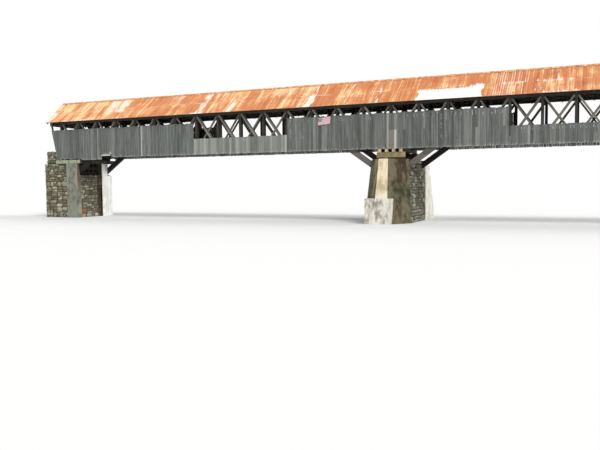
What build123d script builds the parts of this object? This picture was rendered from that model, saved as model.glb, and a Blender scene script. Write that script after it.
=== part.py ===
# Two-span covered timber bridge on a mid-river pier, as a model at 1:10.
# One millimetre here is one centimetre of the real bridge.
# +X runs along the road, +Y across it to the far side, +Z up.
# The origin is at the middle of the pier, on the level of its base.
import os
from math import atan, cos, hypot, sin

from build123d import *

os.makedirs("parts", exist_ok=True)

# Length and panels
panel = 298.0
span_panels = 15

# Heights, counted from the underside of the side boards, which hang below the bottom chords
board_foot = 768.0
chord_foot = 35.0
bottom_chord_depth = 35.0
truss_clear = 385.0
top_chord_depth = 30.0
tie_depth = 20.0
floor_beam_depth = 28.0
plank_depth = 7.0

# Truss timbers
truss_offset = 268.0
truss_width = 52.0
leaf_width = 14.0
post_width = 26.0
brace_depth = 20.0
counter_depth = 18.0
counter_width = 20.0
chord_overrun = 15.0
tie_width = 24.0
tie_half_length = 298.0
floor_beam_width = 24.0
floor_beam_half_length = 300.0
floor_beam_places = (0.3, 0.7)
plank_gap = 4.0
deck_end_gap = 20.0
lateral_depth = 14.0
lateral_width = 14.0
lateral_inset = 6.0
lower_lateral_lift = 8.0
upper_lateral_lift = 8.0
knee_reach = 66.0
knee_depth = 14.0
knee_width = 12.0

# Side boards
wall_half_width = 312.0
board_thickness = 4.0
lower_board_height = 189.0
upper_board_height = 378.0
wall_overrun = 60.0
end_rake = 0.23
window_outer_margin = 20.0
window_inner_margin = 8.0
panels_to_window = 4
panels_past_window = 8
girt_height = 12.0
low_girt_levels = (46.0, 172.0)
high_girt_levels = (258.0, 356.0)
girt_end_gap = 24.0

# Roof
eave_overhang = 59.5
eave_drop = 25.0
roof_rise = 285.0
roof_thickness = 8.0
eave_overrun = 195.0
ridge_overrun = 220.0
ridge_cap_reach = 22.0
ridge_cap_thickness = 2.5
rafter_depth = 16.0
rafter_width = 10.0
rafters_per_panel = 2
tail_setback = 8.0
plate_width = 24.0

# Portal ends
portal_post_depth = 18.0
portal_post_width = 18.0
gable_foot = 430.0
gable_thickness = 4.0

# Pier
pier_half_width = 200.0
pier_top = -108.0
pier_shoulder = 308.0
nose_reach = 548.0
nose_half_width = 48.0
downstream_reach = 592.0
downstream_length = 168.0
batter = 1.0 / 12.0
nose_batter = 0.2
chamfer_batter = 0.14
downstream_lean = 0.34
footing_left = 170.0
footing_right = 108.0
footing_top = -510.0
footing_setoff = 18.6
footing_length = 130.0
pier_bed_depth = 20.0
pier_bed_width = 60.0
pier_bed_places = (-110.0, 0.0, 110.0)
pier_bed_half_length = 330.0
bolster_half_length = 150.0
bolster_width = 50.0
needle_width = 30.0
needle_foot = -33.0
needle_depth = 33.0
needle_places = (-114.0, -38.0, 38.0, 114.0)
needle_half_length = 318.0
corbel_half_length = 215.0
corbel_width = 46.0

# Raking struts
strut_slope = 0.7
strut_depth = 58.0
strut_width = 40.0
strut_seat_drop = 55.0
strut_pocket = 26.0

# Abutments, their lengths counted from the end posts of the trusses
face_setback = 280.0
back_reach = 270.0
abutment_half_width = 330.0
slab_setback = 343.0
slab_overrun = 60.0
slab_half_width = 336.0
slab_top = -18.0
slab_depth = 44.0
crib_foot = -210.0
crib_setback = 229.0
crib_depth = 59.0
crib_courses = 4
crib_timber = 24.0
column_setback = 293.0
column_length = 75.0
near_column = (-338.0, -296.0)
far_column = (134.0, 245.0)
approach_setoff = 70.0
approach_half_width = 286.0
bed_width = 26.0
bed_spacing = 95.0
bed_count = 4
bed_half_length = 306.0

# Flag on the near boards
flag_left = -806.0
flag_right = -662.0
flag_foot = 270.0
flag_top = 372.0
flag_thickness = 3.0

# How far a cutting block stands clear of what it cuts
cut_margin = 1.0

# Sizes that follow from those above
truss_end = span_panels * panel
wall_end = truss_end + wall_overrun
roof_end_at_eave = truss_end + eave_overrun
roof_end_at_ridge = truss_end + ridge_overrun
abutment_face = truss_end - face_setback
abutment_back = truss_end + back_reach
slab_face = truss_end - slab_setback
slab_back = truss_end + slab_overrun
crib_face = truss_end - crib_setback
column_face = truss_end - column_setback
column_back = column_face + column_length
approach_face = truss_end + approach_setoff
deck_half_length = approach_face - deck_end_gap
bottom_chord_top = chord_foot + bottom_chord_depth
top_chord_foot = bottom_chord_top + truss_clear
top_chord_top = top_chord_foot + top_chord_depth
tie_top = top_chord_top + tie_depth
eave_height = tie_top - eave_drop
ridge_height = eave_height + roof_rise
deck_foot = bottom_chord_top + floor_beam_depth
deck_top = deck_foot + plank_depth
truss_inside = truss_offset - truss_width / 2
truss_outside = truss_offset + truss_width / 2
board_inside = wall_half_width - board_thickness
eave_reach = wall_half_width + eave_overhang
roof_slope = roof_rise / eave_reach
roof_angle = atan(roof_slope)
roof_drop = roof_thickness / cos(roof_angle)
rafter_drop = rafter_depth / cos(roof_angle)
neck_width = truss_width - 2 * leaf_width
needle_top = needle_foot + needle_depth
bolster_foot = pier_top + pier_bed_depth
nose_foot = nose_reach + nose_batter * (pier_top - footing_top)
footing_front = nose_foot + footing_setoff


def lift(points):
    """Move outline points from board-foot heights to heights over the base."""
    return [(a, b + board_foot) for a, b in points]


def block(x0, x1, y0, y1, z0, z1):
    """A squared timber or stone between two corners, heights over the board foot."""
    corner = Vector(min(x0, x1), min(y0, y1), z0 + board_foot)
    size = (abs(x1 - x0), abs(y1 - y0), z1 - z0)
    return Solid.make_box(*size, Plane(corner))


def prism_along_y(outline, y0, y1):
    """Extrude an (x, z) outline across the bridge."""
    low = min(y0, y1)
    face = Face(Wire.make_polygon([Vector(x, low, z) for x, z in lift(outline)]))
    return Solid.extrude(face, Vector(0, abs(y1 - y0), 0))


def prism_along_x(outline, x0, x1):
    """Extrude a (y, z) outline along the bridge."""
    low = min(x0, x1)
    face = Face(Wire.make_polygon([Vector(low, y, z) for y, z in lift(outline)]))
    return Solid.extrude(face, Vector(abs(x1 - x0), 0, 0))


def prism_up(outline, z0, z1):
    """Extrude an (x, y) outline upwards."""
    face = Face(Wire.make_polygon([Vector(x, y, z0 + board_foot) for x, y in outline]))
    return Solid.extrude(face, Vector(0, 0, z1 - z0))


def diagonal(a0, b0, a1, b1, depth):
    """Outline of a bar from corner to corner of a rectangle, cut to bear on its sides."""
    length = hypot(a1 - a0, b1 - b0)
    along = depth / 2 * length / abs(b1 - b0)
    up = depth / 2 * length / abs(a1 - a0)
    side_a = 1 if a1 > a0 else -1
    side_b = 1 if b1 > b0 else -1
    return [
        (a0, b0),
        (a0 + side_a * along, b0),
        (a1, b1 - side_b * up),
        (a1, b1),
        (a1 - side_a * along, b1),
        (a0, b0 + side_b * up),
    ]


def solid_of(shape):
    """The single solid that a boolean operation leaves."""
    solids = shape.solids()
    assert len(solids) == 1, f"{len(solids)} solids where one is meant"
    return solids[0]


def mirrored(solids):
    """The same pieces on the other end of the bridge."""
    return [solid.mirror(Plane.YZ) for solid in solids]


def across(solids):
    """The same pieces on the far side of the road."""
    return [solid.mirror(Plane.XZ) for solid in solids]


def save(node, solids):
    """Write one named piece, or a set of like pieces that don't touch."""
    export_step(Compound(list(solids)), f"parts/{node}.step")


def post_places():
    """Distance of every truss post from the middle of the pier."""
    return [(index - span_panels) * panel for index in range(2 * span_panels + 1)]


def leaves(z0, z1):
    """Two leaves of one chord of the near truss, with the post necks between them."""
    end = truss_end + post_width / 2 + chord_overrun
    outer = block(-end, end, -truss_outside, -truss_outside + leaf_width, z0, z1)
    inner = block(-end, end, -truss_inside - leaf_width, -truss_inside, z0, z1)
    return [outer, inner]


def post(x):
    """A post of full width between the chords, necked to pass between their leaves."""
    half_neck = neck_width / 2
    half = truss_width / 2
    outline = [
        (-half_neck, chord_foot),
        (half_neck, chord_foot),
        (half_neck, bottom_chord_top),
        (half, bottom_chord_top),
        (half, top_chord_foot),
        (half_neck, top_chord_foot),
        (half_neck, top_chord_top),
        (-half_neck, top_chord_top),
        (-half_neck, top_chord_foot),
        (-half, top_chord_foot),
        (-half, bottom_chord_top),
        (-half_neck, bottom_chord_top),
    ]
    outline = [(y - truss_offset, z) for y, z in outline]
    return prism_along_x(outline, x - post_width / 2, x + post_width / 2)


def panel_braces(x, falls_right):
    """Paired main braces and the counter brace that crosses between them."""
    left = x + post_width / 2
    right = x + panel - post_width / 2
    high, low = (left, right) if falls_right else (right, left)
    main = diagonal(low, bottom_chord_top, high, top_chord_foot, brace_depth)
    counter = diagonal(high, bottom_chord_top, low, top_chord_foot, counter_depth)
    half = counter_width / 2
    return [
        prism_along_y(main, -truss_outside, -truss_outside + leaf_width),
        prism_along_y(main, -truss_inside - leaf_width, -truss_inside),
        prism_along_y(counter, -truss_offset - half, -truss_offset + half),
    ]


def truss_braces():
    """Main braces fall towards the nearer support of their span."""
    pieces = []
    for index, x in enumerate(post_places()[:-1]):
        place = index % span_panels
        pieces += panel_braces(x, falls_right=place >= span_panels // 2)
    return pieces


def strut_outline(foot_x, foot_z, start_x):
    """A strut that rises from its seat to the underside of the bottom chord."""
    half = strut_depth / 2 * hypot(1, strut_slope)
    top_low = foot_x + (chord_foot - foot_z + half) / strut_slope
    top_high = foot_x + (chord_foot - foot_z - half) / strut_slope
    rise = foot_z + strut_slope * (start_x - foot_x)
    return [
        (start_x, rise - half),
        (top_low, chord_foot),
        (top_high, chord_foot),
        (start_x, rise + half),
    ]


def strut_bar(outline):
    """Give a strut its width, under the middle of the near truss."""
    half = strut_width / 2
    return prism_along_y(outline, -truss_offset - half, -truss_offset + half)


def pier_strut():
    """Strut on the right of the pier, its foot in a pocket of the pier's face."""
    foot_z = pier_top - strut_seat_drop
    foot_x = pier_half_width + strut_seat_drop * batter
    return strut_bar(strut_outline(foot_x, foot_z, foot_x - strut_pocket))


def abutment_strut():
    """Strut at the left abutment, its foot on the ledge before the crib."""
    half = strut_depth / 2 * hypot(1, strut_slope)
    outline = strut_outline(-crib_face, crib_foot + half / 2, -crib_face)
    toe_x = -crib_face + half / 2 / strut_slope
    outline[0] = (toe_x, crib_foot)
    outline.append((-crib_face, crib_foot))
    return strut_bar(outline)


def flat_bar(x0, x1, side, lift_z):
    """A flat bar from one truss to the other, its ends cut flush with their inner faces."""
    length = hypot(x1 - x0, 2 * truss_inside)
    along = lateral_width * length / (2 * truss_inside)
    start = -side * truss_inside
    outline = [(x0, start), (x0 + along, start), (x1, -start), (x1 - along, -start)]
    return prism_up(outline, lift_z, lift_z + lateral_depth)


def panel_cross(x, lift_z):
    """Two flat bars that cross between the trusses, halved together."""
    x0 = x + lateral_inset
    x1 = x + panel - lateral_inset
    return solid_of(flat_bar(x0, x1, 1, lift_z).fuse(flat_bar(x0, x1, -1, lift_z)))


def crosses(lift_z):
    """One crossed pair in every panel."""
    first = panel_cross(post_places()[0], lift_z)
    return [first.moved(Location((index * panel, 0, 0))) for index in range(2 * span_panels)]


def knee_braces():
    """Short braces from the posts up to the tie beams."""
    cut = knee_depth * hypot(1, 1)
    outline = [
        (-truss_inside, top_chord_top - knee_reach),
        (-truss_inside + knee_reach, top_chord_top),
        (-truss_inside + knee_reach - cut, top_chord_top),
        (-truss_inside, top_chord_top - knee_reach + cut),
    ]
    half = knee_width / 2
    return [prism_along_x(outline, x - half, x + half) for x in post_places()]


def crosswise(places, width, half_length, z0, z1):
    """Timbers laid across the bridge, one at each place along it."""
    return [block(x - width / 2, x + width / 2, -half_length, half_length, z0, z1) for x in places]


def floor_beams():
    """Two cross beams in every panel, on top of the bottom chords."""
    places = [x + share * panel for x in post_places()[:-1] for share in floor_beam_places]
    return crosswise(places, floor_beam_width, floor_beam_half_length, bottom_chord_top, deck_foot)


def portal_line(z):
    """Outer edge of the raked end of the walls at a height."""
    return wall_end + end_rake * z


def portal_tie_x():
    """Outer face of the tie beam that crosses over the portal posts."""
    return portal_line(top_chord_top) - board_thickness


def tie_beams():
    """Ties across the top chords, with one more over each portal."""
    portal_place = portal_tie_x() - tie_width / 2
    places = [-portal_place] + post_places() + [portal_place]
    return crosswise(places, tie_width, tie_half_length, top_chord_top, tie_top)


def under_roof(y, depth):
    """Height of the plane that lies below the roof's face by a plumb depth."""
    return eave_height + (eave_reach - abs(y)) * roof_slope - depth


def wall_plate():
    """Plate on the near ends of the ties, its top cut to the slope of the rafters."""
    end = portal_tie_x()
    outer = -truss_offset - plate_width / 2
    inner = -truss_offset + plate_width / 2
    depth = roof_drop + rafter_drop
    outline = [
        (outer, tie_top),
        (inner, tie_top),
        (inner, under_roof(inner, depth)),
        (outer, under_roof(outer, depth)),
    ]
    return prism_along_x(outline, -end, end)


def rafters():
    """Near rafters, plumb cut at the ridge and at their tails."""
    tail = -eave_reach + tail_setback
    outline = [
        (tail, under_roof(tail, roof_drop + rafter_drop)),
        (0, under_roof(0, roof_drop + rafter_drop)),
        (0, under_roof(0, roof_drop)),
        (tail, under_roof(tail, roof_drop)),
    ]
    pitch = panel / rafters_per_panel
    count = span_panels * rafters_per_panel
    places = [index * pitch for index in range(-count, count + 1)]
    end = portal_tie_x() - rafter_width / 2
    places = [-end] + places + [end]
    return [prism_along_x(outline, x - rafter_width / 2, x + rafter_width / 2) for x in places]


def roof_side():
    """Near slope of boards and sheets, its ends cut on a slight rake."""
    outline = [
        (-eave_reach, eave_height),
        (0, ridge_height),
        (0, ridge_height - roof_drop),
        (-eave_reach, eave_height - roof_drop),
    ]
    slab = prism_along_x(outline, -roof_end_at_ridge, roof_end_at_ridge)
    plan = [
        (-roof_end_at_eave, -eave_reach),
        (roof_end_at_eave, -eave_reach),
        (roof_end_at_ridge, 0),
        (-roof_end_at_ridge, 0),
    ]
    return solid_of(slab & prism_up(plan, 0, ridge_height))


def ridge_cap():
    """Folded cap over the ridge."""
    rise = ridge_cap_thickness / cos(roof_angle)
    foot = ridge_height - ridge_cap_reach * roof_slope
    outline = [
        (-ridge_cap_reach, foot),
        (0, ridge_height),
        (ridge_cap_reach, foot),
        (ridge_cap_reach, foot + rise),
        (0, ridge_height + rise),
        (-ridge_cap_reach, foot + rise),
    ]
    return prism_along_x(outline, -roof_end_at_ridge, roof_end_at_ridge)


def wall_outline(start, end, z0, z1):
    """Boards between two places; a start or end of None follows the raked portal edge."""
    left_low = -portal_line(z0) if start is None else start
    left_high = -portal_line(z1) if start is None else start
    right_low = portal_line(z0) if end is None else end
    right_high = portal_line(z1) if end is None else end
    return [(left_low, z0), (right_low, z0), (right_high, z1), (left_high, z1)]


def boards(start, end, z0, z1):
    """One field of near side boards."""
    return prism_along_y(wall_outline(start, end, z0, z1), -wall_half_width, -board_inside)


def window_edges():
    """Outer and inner edge of the wide opening, counted from the pier."""
    outer = panels_past_window * panel + window_outer_margin
    inner = panels_to_window * panel - window_inner_margin
    return outer, inner


def girts():
    """Rails between the posts and the near boards; the high ones stop at the openings."""
    outer, inner = window_edges()
    pieces = []
    for level in low_girt_levels:
        end = portal_line(level) - portal_post_depth - girt_end_gap
        pieces.append(block(-end, end, -board_inside, -truss_outside, level, level + girt_height))
    for level in high_girt_levels:
        end = portal_line(level) - portal_post_depth - girt_end_gap
        top = level + girt_height
        pieces.append(block(-end, -outer, -board_inside, -truss_outside, level, top))
        pieces.append(block(-inner, inner, -board_inside, -truss_outside, level, top))
        pieces.append(block(outer, end, -board_inside, -truss_outside, level, top))
    return pieces


def portal_post():
    """Raked post at the near left corner, from the bearing slab to the portal tie."""
    outline = [
        (-portal_line(slab_top) + board_thickness, slab_top),
        (-portal_line(slab_top) + board_thickness + portal_post_depth, slab_top),
        (-portal_tie_x() + portal_post_depth, top_chord_top),
        (-portal_tie_x(), top_chord_top),
    ]
    return prism_along_y(outline, -board_inside, -board_inside + portal_post_width)


def gable():
    """Upright boards over the left portal, up to the underside of the roof."""
    face = -portal_tie_x()
    half = board_inside
    outline = [
        (-half, gable_foot),
        (half, gable_foot),
        (half, under_roof(half, roof_drop)),
        (0, under_roof(0, roof_drop)),
        (-half, under_roof(half, roof_drop)),
    ]
    return prism_along_x(outline, face - gable_thickness, face)


def spread(z):
    """How far the pier's battered faces stand out at a height."""
    return (pier_top - z) * batter


def nose_line(z):
    """Half width of the nose's front and place of its shoulders, where its raked sides meet them."""
    drop = pier_top - z
    run = nose_reach - pier_shoulder
    fall = pier_half_width - nose_half_width
    reach = min(nose_reach + nose_batter * drop, nose_foot)
    line = run * nose_half_width + fall * nose_reach + chamfer_batter * drop * hypot(run, fall)
    half = (line - fall * reach) / run
    shoulder = (line - run * (pier_half_width + spread(z))) / fall
    return reach, half, shoulder


def pier_ring(z):
    """Plan of the whole pier at a height: pointed upstream, square downstream."""
    side = pier_half_width + spread(z)
    reach, half, shoulder = nose_line(z)
    end = downstream_reach + spread(z)
    plan = [(-half, -reach), (half, -reach), (side, -shoulder), (side, end), (-side, end), (-side, -shoulder)]
    return [Vector(x, y, z + board_foot) for x, y in plan]


def pier_body():
    """The pier from its base to its top, its front upright below the top of the footing."""
    rings = [pier_ring(z) for z in (-board_foot, footing_top, pier_top)]
    faces = [Face(Wire.make_polygon(rings[0])), Face(Wire.make_polygon(rings[-1]))]
    for low, high in zip(rings, rings[1:]):
        for here in range(len(low)):
            after = (here + 1) % len(low)
            quad = [low[here], low[after], high[after], high[here]]
            faces.append(Face(Wire.make_polygon(quad)))
    return Solid(Shell(faces))


def pier_part(body, start, end):
    """The part of the pier between two cross cuts, each given by its places at base and top."""
    wide = pier_half_width + spread(-board_foot) + cut_margin
    outline = [(start[0], -board_foot), (end[0], -board_foot), (end[1], pier_top), (start[1], pier_top)]
    return solid_of(body & prism_along_x(outline, -wide, wide))


def pier_footing(body):
    """Low footing set round the upstream nose, fitted to its faces."""
    back = -footing_front + footing_length
    box = block(-footing_left, footing_right, -footing_front, back, -board_foot, footing_top)
    return solid_of(box - body)


def under_truss(half_length, width, z0, z1):
    """A timber laid along the bridge on the pier, under the middle of the near truss."""
    half = width / 2
    return block(-half_length, half_length, -truss_offset - half, -truss_offset + half, z0, z1)


def pier_timbers():
    """Bed timbers, bolsters, needle beams and the corbels under the trusses, in four courses."""
    beds = crosswise(pier_bed_places, pier_bed_width, pier_bed_half_length, pier_top, bolster_foot)
    bolster = under_truss(bolster_half_length, bolster_width, bolster_foot, needle_foot)
    needles = crosswise(needle_places, needle_width, needle_half_length, needle_foot, needle_top)
    corbel = under_truss(corbel_half_length, corbel_width, needle_top, chord_foot)
    return beds, [bolster] + across([bolster]), needles, [corbel] + across([corbel])


def column(side):
    """Dressed corner column of the left abutment, from the base to the bearing slab."""
    return block(-column_back, -column_face, side[0], side[1], -board_foot, slab_top - slab_depth)


def crib(y0, y1):
    """Stacked timbers at the left bridge seat, in crossed courses fused where they lie."""
    height = slab_top - slab_depth - crib_foot
    course = height / crib_courses
    back = -crib_face - crib_depth
    stack = None
    for index in range(crib_courses):
        z0 = crib_foot + index * course
        z1 = z0 + course
        if index % 2 == 0:
            bars = [block(back, back + crib_timber, y0, y1, z0, z1),
                    block(-crib_face - crib_timber, -crib_face, y0, y1, z0, z1)]
        else:
            count = max(2, round((y1 - y0) / (3 * crib_timber)))
            step = (y1 - y0 - crib_timber) / (count - 1)
            starts = [y0 + k * step for k in range(count)]
            bars = [block(back, -crib_face, start, start + crib_timber, z0, z1) for start in starts]
        for bar in bars:
            stack = bar if stack is None else stack.fuse(bar)
    return solid_of(stack)


def abutment(columns):
    """Rubble mass of the left abutment with its approach wall, cut for the corner columns."""
    slab_foot = slab_top - slab_depth
    outline = [
        (-abutment_back, -board_foot),
        (-abutment_face, -board_foot),
        (-abutment_face, crib_foot),
        (-crib_face - crib_depth, crib_foot),
        (-crib_face - crib_depth, slab_foot),
        (-abutment_back, slab_foot),
    ]
    mass = prism_along_y(outline, -abutment_half_width, abutment_half_width)
    approach = block(-abutment_back, -approach_face, -approach_half_width, approach_half_width,
                     slab_foot, deck_top)
    mass = mass.fuse(approach)
    for piece in columns:
        mass = mass - piece
    return solid_of(mass)


def bed_timbers():
    """Cross timbers between the left bearing slab and the bottom chords."""
    places = [-truss_end + index * bed_spacing for index in range(bed_count)]
    return crosswise(places, bed_width, bed_half_length, slab_top, chord_foot)


# Trusses
bottom_chord = leaves(chord_foot, bottom_chord_top)
top_chord = leaves(top_chord_foot, top_chord_top)
posts = [post(x) for x in post_places()]
braces = truss_braces()
save("near_bottom_chord", bottom_chord)
save("far_bottom_chord", across(bottom_chord))
save("near_top_chord", top_chord)
save("far_top_chord", across(top_chord))
save("near_posts", posts)
save("far_posts", across(posts))
save("near_braces", braces)
save("far_braces", across(braces))

# Struts under the trusses
right_strut = pier_strut()
left_strut = abutment_strut()
struts = [right_strut, left_strut] + mirrored([right_strut, left_strut])
save("near_struts", struts)
save("far_struts", across(struts))

# Floor and flat bracing
save("floor_beams", floor_beams())
deck_side = truss_inside - plank_gap
deck = block(-deck_half_length, deck_half_length, -deck_side, deck_side, deck_foot, deck_top)
save("deck_planks", [deck])
save("lower_laterals", crosses(chord_foot + lower_lateral_lift))
save("upper_laterals", crosses(top_chord_foot + upper_lateral_lift))

# Roof
knees = knee_braces()
plate = wall_plate()
near_rafters = rafters()
near_roof = roof_side()
save("tie_beams", tie_beams())
save("wall_plates", [plate] + across([plate]))
save("knee_braces", knees + across(knees))
save("near_rafters", near_rafters)
save("far_rafters", across(near_rafters))
save("near_roof", [near_roof])
save("far_roof", across([near_roof]))
save("ridge_cap", [ridge_cap()])

# Side walls
outer_edge, inner_edge = window_edges()
fields = {
    "lower_siding": boards(None, None, 0.0, lower_board_height),
    "upper_siding_left": boards(None, -outer_edge, lower_board_height, upper_board_height),
    "upper_siding_middle": boards(-inner_edge, inner_edge, lower_board_height, upper_board_height),
    "upper_siding_right": boards(outer_edge, None, lower_board_height, upper_board_height),
}
for name, field in fields.items():
    save(f"near_{name}", [field])
    save(f"far_{name}", across([field]))
rails = girts()
save("near_girts", rails)
save("far_girts", across(rails))

# Portal ends
corner_post = portal_post()
left_posts = [corner_post] + across([corner_post])
left_gable = gable()
save("left_portal_posts", left_posts)
save("right_portal_posts", mirrored(left_posts))
save("left_gable", [left_gable])
save("right_gable", mirrored([left_gable]))

# Pier
body = pier_body()
far_start = downstream_reach - downstream_length
near_cut = (-nose_line(-board_foot)[2], -pier_shoulder)
far_cut = (far_start - downstream_lean * (pier_top + board_foot), far_start)
reach = footing_front + cut_margin
core = pier_part(body, near_cut, far_cut)
for piece in [right_strut] + mirrored([right_strut]):
    core = core - piece
    core = core - piece.mirror(Plane.XZ)
beds, bolsters, needles, corbels = pier_timbers()
save("pier_core", [solid_of(core)])
save("pier_upstream_nose", [pier_part(body, (-reach, -reach), near_cut)])
save("pier_downstream_end", [pier_part(body, far_cut, (reach, reach))])
save("pier_footing", [pier_footing(body)])
save("pier_bed_timbers", beds)
save("pier_bolsters", bolsters)
save("pier_needle_beams", needles)
save("pier_corbels", corbels)

# Abutments
columns = [column(near_column), column(far_column)]
cribs = [crib(near_column[1], far_column[0]), crib(far_column[1], abutment_half_width)]
mass = abutment(columns)
slab = block(-slab_back, -slab_face, -slab_half_width, slab_half_width,
             slab_top - slab_depth, slab_top)
seats = bed_timbers()
for node, pieces in {
    "abutment": [mass],
    "corner_columns": columns,
    "crib": cribs,
    "bearing_slab": [slab],
    "bed_timbers": seats,
}.items():
    save(f"left_{node}", pieces)
    save(f"right_{node}", mirrored(pieces))

# Flag
flag = block(flag_left, flag_right, -wall_half_width - flag_thickness, -wall_half_width,
             flag_foot, flag_top)
save("flag", [flag])
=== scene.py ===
"""Looks of a two-span covered timber bridge at 1:10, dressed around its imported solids."""
from functools import partialmethod
from itertools import pairwise, product
from math import atan2, ceil, copysign, cos, hypot, pi, radians, sin
from random import Random

import bmesh
import bpy
import numpy as np
from mathutils import Matrix, Vector


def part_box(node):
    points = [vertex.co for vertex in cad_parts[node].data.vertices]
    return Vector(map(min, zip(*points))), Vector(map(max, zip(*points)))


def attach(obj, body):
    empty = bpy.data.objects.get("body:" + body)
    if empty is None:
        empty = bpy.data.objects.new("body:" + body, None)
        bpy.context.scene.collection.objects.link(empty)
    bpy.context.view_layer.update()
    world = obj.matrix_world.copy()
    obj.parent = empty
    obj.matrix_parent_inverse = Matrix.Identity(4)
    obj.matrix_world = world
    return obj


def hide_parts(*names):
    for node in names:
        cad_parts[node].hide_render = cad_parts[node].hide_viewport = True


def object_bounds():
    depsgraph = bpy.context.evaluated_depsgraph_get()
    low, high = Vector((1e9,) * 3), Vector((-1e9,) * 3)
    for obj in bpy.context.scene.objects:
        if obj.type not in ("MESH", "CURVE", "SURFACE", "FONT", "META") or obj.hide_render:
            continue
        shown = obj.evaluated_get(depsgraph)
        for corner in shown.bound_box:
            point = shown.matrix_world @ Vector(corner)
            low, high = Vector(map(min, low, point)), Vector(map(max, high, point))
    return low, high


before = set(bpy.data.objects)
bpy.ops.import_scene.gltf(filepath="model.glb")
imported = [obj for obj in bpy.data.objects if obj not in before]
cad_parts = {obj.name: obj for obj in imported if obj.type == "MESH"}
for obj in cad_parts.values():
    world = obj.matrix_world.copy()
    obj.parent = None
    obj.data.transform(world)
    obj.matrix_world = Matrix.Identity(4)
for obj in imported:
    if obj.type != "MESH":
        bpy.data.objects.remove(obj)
cad_low, cad_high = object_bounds()

# Studio. A plain pale floor on the level that the pier stands on, an even soft sky, a broad soft sun
# in front and a second one that fills from behind, and the camera low over the upstream side.
camera_place = Vector((1.9675, -7.0397, 0.4256))
camera_yaw = 24.046
camera_pitch = -3.651
camera_roll = -0.566
camera_lens = 39.8
floor_reach = 60.0
floor_colour = (0.86, 0.86, 0.85)
sky_strength = 0.58
suns = (("soft_sun", 1.75, 24.0, (0.85, -0.68, 1.15)), ("soft_fill", 1.45, 30.0, (1.0, 0.38, 0.47)))


def node(tree, kind, inputs=None, **settings):
    """Add a node, set its own settings, and give its sockets values or links."""
    made = tree.nodes.new(kind)
    for name, value in settings.items():
        setattr(made, name, value)
    for key, value in (inputs or {}).items():
        if isinstance(value, Signal):
            tree.links.new(value.socket, made.inputs[key])
        else:
            made.inputs[key].default_value = value
    return made


def signal(tree, kind, inputs=None, output=0, **settings):
    """What a new node puts out."""
    return Signal(tree, node(tree, kind, inputs, **settings).outputs[output])


class Signal:
    """A value or a colour that a node puts out, to be reckoned with like a number."""

    def __init__(self, tree, socket):
        self.tree, self.socket = tree, socket

    def reckon(self, operation, other=0.0):
        """This value and another one through an arithmetic node."""
        return signal(self.tree, "ShaderNodeMath", {0: self, 1: other}, operation=operation)

    __add__ = partialmethod(reckon, "ADD")
    __sub__ = partialmethod(reckon, "SUBTRACT")
    __mul__ = partialmethod(reckon, "MULTIPLY")
    __truediv__ = partialmethod(reckon, "DIVIDE")
    __lt__ = partialmethod(reckon, "LESS_THAN")
    __gt__ = partialmethod(reckon, "GREATER_THAN")
    __or__ = partialmethod(reckon, "MAXIMUM")
    __abs__ = partialmethod(reckon, "ABSOLUTE")

    def fade(self, first, last, low=0.0, high=1.0):
        """From low to high while this value goes from first to last, and level beyond them."""
        return signal(self.tree, "ShaderNodeMapRange", {"Value": self, "From Min": first, "From Max": last,
                                                        "To Min": low, "To Max": high})


def new_look(name):
    """An empty material and its node tree."""
    look = bpy.data.materials.new(name)
    look.use_nodes = True
    look.node_tree.nodes.clear()
    return look, look.node_tree


def surfaced(look, base, roughness, specular=0.5, relief=None, others=None):
    """Give a look its surface; a relief is its height, its strength and its depth in metres."""
    tree = look.node_tree
    inputs = {"Base Color": base, "Roughness": roughness, "Specular IOR Level": specular, **(others or {})}
    if relief:
        height, strength, depth = relief
        inputs["Normal"] = signal(tree, "ShaderNodeBump",
                                  {"Height": height, "Strength": strength, "Distance": depth})
    skin = signal(tree, "ShaderNodeBsdfPrincipled", inputs)
    node(tree, "ShaderNodeOutputMaterial", {"Surface": skin})
    return look


def placed(name, data):
    """A new object in the scene."""
    made = bpy.data.objects.new(name, data)
    scene.collection.objects.link(made)
    return made


scene = bpy.context.scene
scene.view_settings.view_transform = "Standard"

turn = Matrix.Rotation(radians(camera_yaw), 4, "Z")
turn = turn @ Matrix.Rotation(pi / 2 + radians(camera_pitch), 4, "X")
turn = turn @ Matrix.Rotation(radians(camera_roll), 4, "Z")
camera = placed("camera", bpy.data.cameras.new("camera"))
camera.data.lens = camera_lens
camera.data.clip_end = 2 * floor_reach
camera.matrix_world = Matrix.Translation(camera_place) @ turn
scene.camera = camera

for name, strength, softness, source in suns:
    sun = placed(name, bpy.data.lights.new(name, "SUN"))
    sun.data.energy = strength
    sun.data.angle = radians(softness)
    sun.rotation_euler = Vector(source).to_track_quat("Z", "Y").to_euler()

world = bpy.data.worlds.new("soft_sky")
world.use_nodes = True
scene.world = world
sky = world.node_tree
sky.nodes.clear()
rays = node(sky, "ShaderNodeLightPath").outputs
seen, mirrored, through = (Signal(sky, rays[f"Is {way} Ray"]) for way in ("Camera", "Glossy", "Transmission"))
strength = (seen | mirrored | through).fade(0.0, 1.0, sky_strength, 1.0)
glow = signal(sky, "ShaderNodeBackground", {"Color": (1, 1, 1, 1), "Strength": strength})
node(sky, "ShaderNodeOutputWorld", {"Surface": glow})

ground = bpy.data.meshes.new("floor")
corners = [(x * floor_reach, y * floor_reach, 0) for x, y in ((-1, -1), (1, -1), (1, 1), (-1, 1))]
ground.from_pydata(corners, [], [(0, 1, 2, 3)])
ground.materials.append(surfaced(new_look("pale_floor")[0], (*floor_colour, 1), 0.9, 0.1))
floor = placed("floor", ground)

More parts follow.
